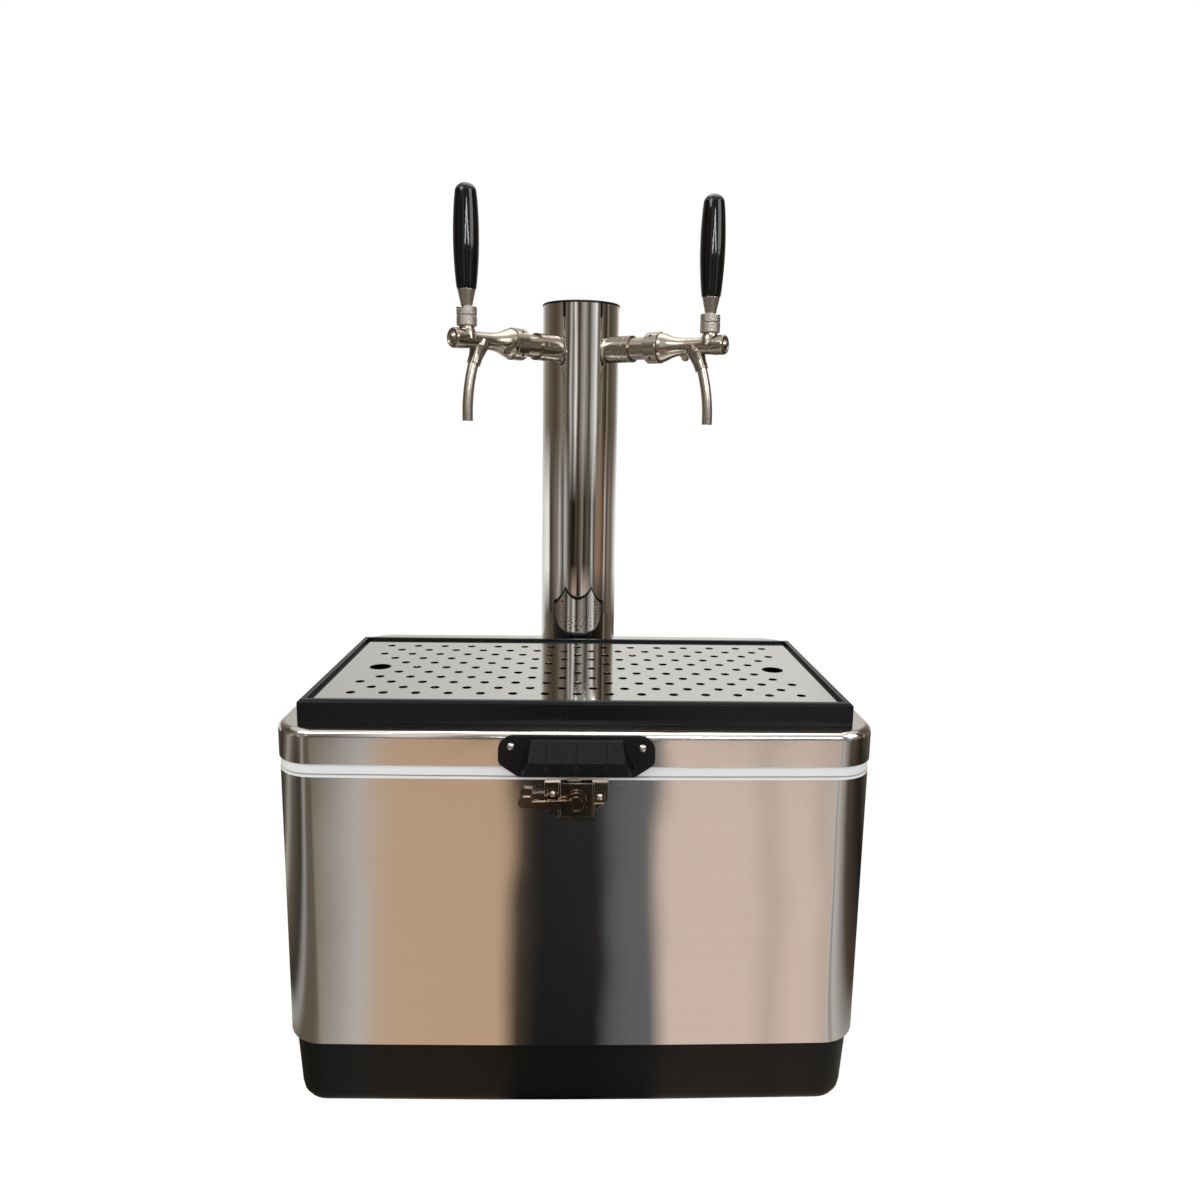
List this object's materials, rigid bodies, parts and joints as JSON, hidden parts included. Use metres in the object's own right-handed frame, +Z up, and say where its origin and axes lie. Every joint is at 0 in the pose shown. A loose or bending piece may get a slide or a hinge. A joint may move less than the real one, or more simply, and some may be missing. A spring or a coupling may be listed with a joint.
{
  "type": "jockey box beer cooler",
  "caption": "Steel-belted ice chest with a perforated drip tray and a polished tap column with lever taps on its hinged lid, for serving draught beer.",
  "frame": {"origin": "middle of the flat underside of the chest", "axes": "+Z up, -Y towards the drinker, +X to the right seen from the front"},
  "size_m": [0.666, 0.485, 1.0088],
  "materials": {
    "black_base": "black moulded plastic with a slight sheen",
    "brushed_steel": "stainless sheet brushed level",
    "foam": "rigid insulating foam",
    "white_plastic": "white moulded plastic",
    "nickel": "nickel plate, warm and slightly worn",
    "hinge_steel": "stainless, satin",
    "screw_steel": "stainless pan heads",
    "aluminium": "cast aluminium",
    "rubber": "black rubber",
    "fittings": "turned stainless",
    "handle_plastic": "black plastic, half gloss",
    "black_rail": "black, half gloss",
    "mirror_steel": "stainless, mirror polished",
    "tap_steel": "polished, warm nickel tone",
    "satin_ring": "bead-blasted satin",
    "inner_steel": "turned stainless",
    "grip_gloss": "deep gloss black"
  },
  "bodies": {
    "cooler": {"base_pan": "black_base", "steel_belt": "brushed_steel", "body_foam": "foam", "inner_liner": "white_plastic", "latch_plate": "nickel", "hinge_body_leaves": "hinge_steel", "hinge_pins": "hinge_steel", "body_screws": "screw_steel", "end_brackets": "hinge_steel", "drain_spout": "white_plastic", "cold_plate": "aluminium", "cold_plate_feet": "rubber", "cold_plate_nipples": "fittings", "beer_inlets": "fittings", "inlet_nuts": "fittings"},
    "lid": {"lid_skin": "brushed_steel", "lid_foam": "foam", "lid_liner": "white_plastic", "lid_seal": "rubber", "lid_handle": "handle_plastic", "lid_screws": "screw_steel", "latch_keeper": "hinge_steel", "hinge_lid_leaves": "hinge_steel", "drip_pan": "black_rail", "tower_flange": "mirror_steel", "tower_bolts": "screw_steel", "tower_tube": "mirror_steel", "tower_cap": "black_rail", "tap_shanks": "tap_steel", "shank_collars": "tap_steel", "shank_nuts": "tap_steel", "coupling_nuts": "tap_steel", "tap_body_left": "tap_steel", "tap_body_right": "tap_steel", "end_caps": "tap_steel", "bonnet_nuts": "satin_ring", "bonnet_caps": "satin_ring", "spout_left": "tap_steel", "spout_right": "tap_steel"},
    "tray_grate": {"tray_grate": "mirror_steel"},
    "latch_lever": {"latch_lever": "nickel"},
    "end_handle_left": {"end_bail_left": "hinge_steel", "end_grip_left": "handle_plastic"},
    "end_handle_right": {"end_bail_right": "hinge_steel", "end_grip_right": "handle_plastic"},
    "drain_cap": {"drain_cap": "white_plastic"},
    "tap_handle_left": {"handle_stem_left": "inner_steel", "handle_ferrule_left": "tap_steel", "handle_grip_left": "grip_gloss"},
    "plunger_left": {"plunger_left": "inner_steel"},
    "flow_lever_left": {"flow_lever_left": "tap_steel"},
    "compensator_left": {"compensator_left": "inner_steel"},
    "tap_handle_right": {"handle_stem_right": "inner_steel", "handle_ferrule_right": "tap_steel", "handle_grip_right": "grip_gloss"},
    "plunger_right": {"plunger_right": "inner_steel"},
    "flow_lever_right": {"flow_lever_right": "tap_steel"},
    "compensator_right": {"compensator_right": "inner_steel"}
  },
  "joints": [
    {"name": "lid_hinge", "type": "hinge", "parent": "cooler", "child": "lid", "pos_m": [0, 0.226, 0.381], "axis": [-1, 0, 0], "range_deg": [0, 90]},
    {"name": "grate_lift", "type": "slide", "parent": "lid", "child": "tray_grate", "axis": [0, 0, 1], "range_m": [0, 0.03]},
    {"name": "latch_turn", "type": "hinge", "parent": "cooler", "child": "latch_lever", "pos_m": [0, -0.219, 0.358], "axis": [0, -1, 0], "range_deg": [0, 90]},
    {"name": "end_handle_right_swing", "type": "hinge", "parent": "cooler", "child": "end_handle_right", "pos_m": [0.322, 0, 0.3], "axis": [0, -1, 0], "range_deg": [0, 95]},
    {"name": "end_handle_left_swing", "type": "hinge", "parent": "cooler", "child": "end_handle_left", "pos_m": [-0.322, 0, 0.3], "axis": [0, 1, 0], "range_deg": [0, 95]},
    {"name": "drain_cap_pull", "type": "slide", "parent": "cooler", "child": "drain_cap", "axis": [1, 0, 0], "range_m": [0, 0.014]},
    {"name": "tap_handle_left_tilt", "type": "hinge", "parent": "lid", "child": "tap_handle_left", "pos_m": [-0.13576, 0.01803, 0.855], "axis": [0.7071, -0.7071, 0], "range_deg": [0, 25]},
    {"name": "plunger_left_slide", "type": "slide", "parent": "lid", "child": "plunger_left", "axis": [-0.7071, -0.7071, 0], "range_m": [-0.0095, 0.0001]},
    {"name": "flow_lever_left_turn", "type": "hinge", "parent": "lid", "child": "flow_lever_left", "pos_m": [-0.09263, 0.06117, 0.833], "axis": [0.7071, -0.7071, 0], "range_deg": [-45, 45]},
    {"name": "compensator_left_slide", "type": "slide", "parent": "lid", "child": "compensator_left", "axis": [-0.7071, -0.7071, 0], "range_m": [-0.00177, 0.00177]},
    {"name": "tap_handle_right_tilt", "type": "hinge", "parent": "lid", "child": "tap_handle_right", "pos_m": [0.15728, 0.04367, 0.855], "axis": [0.5736, 0.8192, 0], "range_deg": [0, 25]},
    {"name": "plunger_right_slide", "type": "slide", "parent": "lid", "child": "plunger_right", "axis": [0.8192, -0.5736, 0], "range_m": [-0.0095, 0.0001]},
    {"name": "flow_lever_right_turn", "type": "hinge", "parent": "lid", "child": "flow_lever_right", "pos_m": [0.10731, 0.07866, 0.833], "axis": [0.5736, 0.8192, 0], "range_deg": [-45, 45]},
    {"name": "compensator_right_slide", "type": "slide", "parent": "lid", "child": "compensator_right", "axis": [0.8192, -0.5736, 0], "range_m": [-0.00177, 0.00177]}
  ],
  "couplings": [
    {"joint": "plunger_left_slide", "follows": "tap_handle_left_tilt", "m_per_rad": -0.021309},
    {"joint": "flow_lever_left_turn", "follows": "compensator_left_slide", "rad_per_m": 444.26},
    {"joint": "plunger_right_slide", "follows": "tap_handle_right_tilt", "m_per_rad": -0.021309},
    {"joint": "flow_lever_right_turn", "follows": "compensator_right_slide", "rad_per_m": 444.26}
  ]
}
